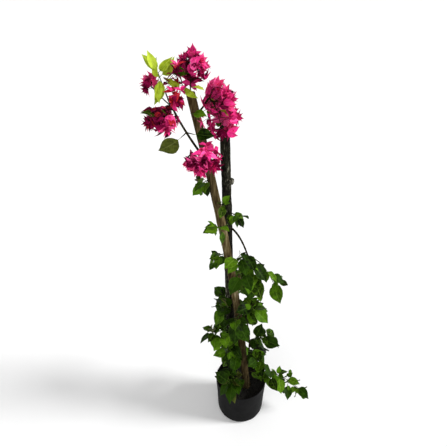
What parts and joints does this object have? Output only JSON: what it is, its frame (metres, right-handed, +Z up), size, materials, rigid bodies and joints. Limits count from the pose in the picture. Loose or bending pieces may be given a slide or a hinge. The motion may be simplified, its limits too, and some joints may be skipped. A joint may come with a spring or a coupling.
{
  "type": "potted bougainvillea shrub",
  "caption": "Slender upright bougainvillea in a black nursery pot: woody stems, pink bract clusters near the top, leafy shoots low down.",
  "frame": {"origin": "centre of the pot's flat underside, at the level it stands on", "axes": "+Z up; +X to the right and +Y away from the viewer who sees the tall stem lean to the left"},
  "size_m": [0.5586, 0.3339, 1.469],
  "materials": {
    "pot_plastic": "soft black polythene nursery bag, satin",
    "potting_soil": "dark moist potting soil, crumbly and matte",
    "tan_bark": "smooth tan-brown bark with olive streaks",
    "dark_bark": "rough near-black old bark",
    "shoot_bark": "thin brown shoot bark",
    "leaves": "mid to dark green leaves, slightly glossy",
    "young_leaves": "lime-green young leaves, translucent look",
    "bracts": "papery hot-pink to magenta bracts"
  },
  "bodies": {
    "root": {"pot": "pot_plastic", "soil": "potting_soil", "main_stem": "tan_bark", "old_stem": "dark_bark", "left_shoot": "shoot_bark", "right_shoot": "shoot_bark", "arch_shoot": "shoot_bark", "low_shoot": "shoot_bark", "top_blossom": "bracts", "tip_leaves": "young_leaves", "side_blossom": "bracts", "red_blossom": "bracts", "inner_leaves": "young_leaves", "left_blossom": "bracts", "right_blossom": "bracts", "low_blossom": "bracts", "round_leaf": "leaves", "fork_leaf": "leaves", "collar_leaf": "leaves", "high_spur": "leaves", "nook_leaf": "leaves", "cross_leaves": "leaves", "cross_right": "leaves", "arch_upper": "leaves", "arch_leaves": "leaves", "left_spur": "leaves", "low_shoot_top": "leaves", "pair_right": "leaves", "low_front": "leaves", "low_left": "leaves", "left_sprig": "leaves", "right_sprig": "leaves", "foot_right": "leaves", "foot_left": "leaves", "pot_sprig": "leaves", "pot_left": "leaves", "pot_back": "leaves", "back_leaves": "leaves", "back_foot": "leaves", "back_right": "leaves", "back_upper": "leaves", "back_left": "leaves"}
  },
  "joints": []
}
